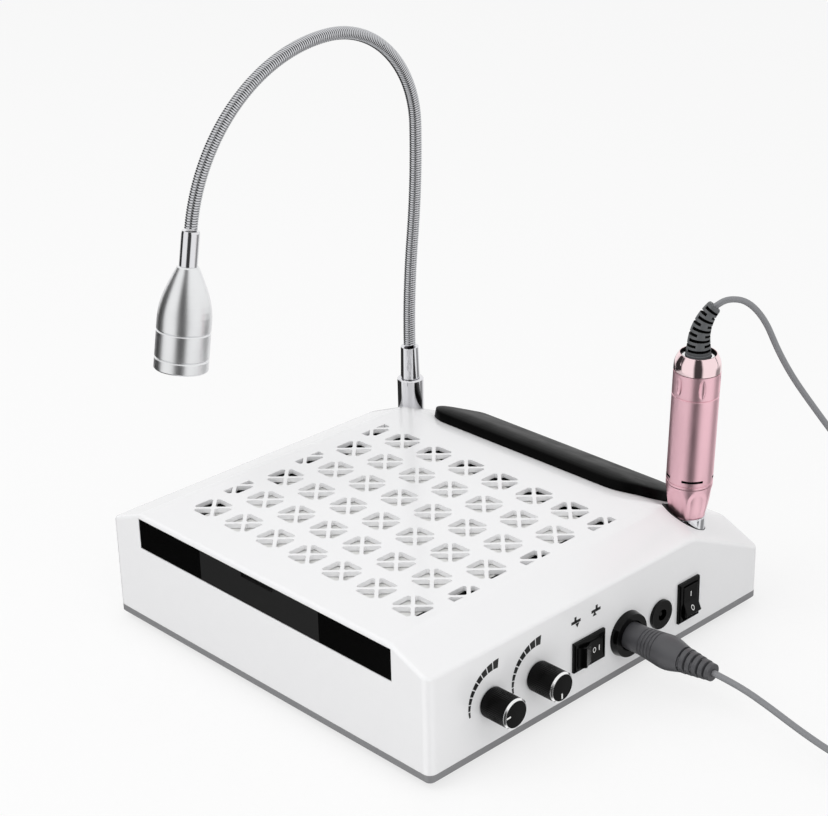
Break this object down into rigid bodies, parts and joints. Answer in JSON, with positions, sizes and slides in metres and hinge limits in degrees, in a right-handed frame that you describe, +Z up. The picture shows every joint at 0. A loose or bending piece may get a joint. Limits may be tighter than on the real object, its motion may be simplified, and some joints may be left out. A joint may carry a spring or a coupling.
{
  "type": "nail dust collector",
  "caption": "Desktop nail dust collector: white case with air grille, filter drawer and hand rest, gooseneck lamp, control panel, and a drill handpiece standing in its well.",
  "frame": {"origin": "on the surface that the feet stand on, under the middle of the whole object without its cord, knobs included", "axes": "+Z up, -Y out of the filter drawer's front, +X out of the control panel"},
  "size_m": [0.3616, 0.2662, 0.2748],
  "materials": {
    "white_abs": "glossy injection-moulded ABS",
    "grey_abs": "fine satin ABS",
    "rubber_black": "matt rubber",
    "steel_zinc": "zinc-plated steel",
    "pad_black": "soft-touch moulded polyurethane",
    "black_abs": "glossy black ABS",
    "black_matte": "matt black plastic",
    "knob_black": "satin black phenolic",
    "frame_white": "satin white ABS",
    "filter_paper": "spun polyester filter fleece",
    "board_green": "solder-masked glass fibre",
    "board_parts": "moulded component cases",
    "nickel": "nickel-plated steel",
    "neck_chrome": "plated steel spiral hose",
    "head_aluminium": "satin anodised turned aluminium",
    "lens_clear": "clear optical plastic",
    "reflector_bright": "bright reflector",
    "led_white": "white solder-masked board",
    "rose_anodised": "rose anodised aluminium",
    "cord_grey": "grey moulded PVC"
  },
  "bodies": {
    "root": {"base_plate": "grey_abs", "top_shell": "white_abs", "rubber_feet": "rubber_black", "base_screws": "steel_zinc", "pad_plate": "black_matte", "hand_rest_pad": "pad_black", "drawer_rails": "frame_white", "fan_frame": "black_matte", "fan_stator": "black_matte", "fan_screws": "steel_zinc", "control_board": "board_green", "board_parts": "board_parts", "board_screws": "steel_zinc", "fan_pot": "black_matte", "panel_nuts": "nickel", "motor_pot": "black_matte", "direction_switch": "black_abs", "lamp_switch": "black_abs", "motor_socket": "black_abs", "power_jack": "black_abs", "plug_body": "cord_grey", "plug_barrel": "steel_zinc", "plug_relief": "cord_grey", "cord_plug_run": "cord_grey", "cord_coil": "cord_grey", "lamp_collar": "nickel", "lamp_nut": "nickel"},
    "drawer": {"drawer_front": "black_abs", "filter_frame": "frame_white", "filter_media": "filter_paper"},
    "fan": {"fan_rotor": "black_matte"},
    "fan_dial": {"fan_pot_shaft": "steel_zinc", "fan_knob": "knob_black"},
    "motor_dial": {"motor_pot_shaft": "steel_zinc", "motor_knob": "knob_black"},
    "direction_key": {"direction_rocker": "black_abs"},
    "lamp_key": {"lamp_rocker": "black_abs"},
    "handpiece": {"tip_housing": "steel_zinc", "handpiece_barrel": "rose_anodised", "grip_ring": "rose_anodised", "rear_cap": "rose_anodised", "cap_ring": "head_aluminium", "handpiece_motor": "steel_zinc", "handpiece_relief": "cord_grey", "cord_handpiece_run": "cord_grey"},
    "nose": {"nose_sleeve": "rose_anodised"},
    "chuck": {"spindle": "steel_zinc"},
    "lamp_arm_1": {"lamp_stem": "nickel", "neck_link_1": "neck_chrome"},
    "lamp_arm_2": {"neck_link_2": "neck_chrome"},
    "lamp_arm_3": {"neck_link_3": "neck_chrome"},
    "lamp_arm_4": {"neck_link_4": "neck_chrome"},
    "lamp_head": {"neck_link_5": "neck_chrome", "head_ferrule": "nickel", "head_shell": "head_aluminium", "head_sleeve": "head_aluminium", "head_bezel": "head_aluminium", "lamp_lens": "lens_clear", "lamp_reflector": "reflector_bright", "led_board": "led_white"}
  },
  "joints": [
    {"name": "drawer_slide", "type": "slide", "parent": "root", "child": "drawer", "axis": [0, -1, 0], "range_m": [0, 0.13]},
    {"name": "fan_spin", "type": "hinge", "parent": "root", "child": "fan", "pos_m": [-0.0225, -0.02, 0.02], "axis": [0, 0, 1], "continuous": true},
    {"name": "fan_dial_turn", "type": "hinge", "parent": "root", "child": "fan_dial", "pos_m": [0.1075, -0.0765, 0.0287], "axis": [-1, 0, 0], "range_deg": [-50, 230]},
    {"name": "motor_dial_turn", "type": "hinge", "parent": "root", "child": "motor_dial", "pos_m": [0.1075, -0.047, 0.0287], "axis": [-1, 0, 0], "range_deg": [0, 280]},
    {"name": "direction_key_rock", "type": "hinge", "parent": "root", "child": "direction_key", "pos_m": [0.1003, -0.0135, 0.0272], "axis": [0, 0, -1], "range_deg": [0, 24]},
    {"name": "lamp_key_rock", "type": "hinge", "parent": "root", "child": "lamp_key", "pos_m": [0.1003, 0.0579, 0.0244], "axis": [0, 1, 0], "range_deg": [0, 24]},
    {"name": "handpiece_lift", "type": "slide", "parent": "root", "child": "handpiece", "axis": [0.0401, 0, 0.9992], "range_m": [0, 0.06]},
    {"name": "nose_twist", "type": "hinge", "parent": "handpiece", "child": "nose", "pos_m": [0.0855, 0.0776, 0.0623], "axis": [0.0401, 0, 0.9992], "range_deg": [0, 60]},
    {"name": "chuck_spin", "type": "hinge", "parent": "handpiece", "child": "chuck", "pos_m": [0.0855, 0.0776, 0.0623], "axis": [0.0401, 0, 0.9992], "continuous": true},
    {"name": "lamp_swivel", "type": "hinge", "parent": "root", "child": "lamp_arm_1", "pos_m": [-0.0964, 0.069, 0.0782], "axis": [0, 0, 1], "range_deg": [-170, 170]},
    {"name": "neck_bend_1", "type": "hinge", "parent": "lamp_arm_1", "child": "lamp_arm_2", "pos_m": [-0.0964, 0.06969, 0.12099], "axis": [1, 0, 0], "range_deg": [-20, 8]},
    {"name": "neck_bend_2", "type": "hinge", "parent": "lamp_arm_2", "child": "lamp_arm_3", "pos_m": [-0.0964, 0.07604, 0.22559], "axis": [1, 0, 0], "range_deg": [-25, 10]},
    {"name": "neck_bend_3", "type": "hinge", "parent": "lamp_arm_3", "child": "lamp_arm_4", "pos_m": [-0.0964, 0.01382, 0.27128], "axis": [1, 0, 0], "range_deg": [-25, 10]},
    {"name": "neck_bend_4", "type": "hinge", "parent": "lamp_arm_4", "child": "lamp_head", "pos_m": [-0.0964, -0.05912, 0.22488], "axis": [1, 0, 0], "range_deg": [-35, 20]}
  ]
}
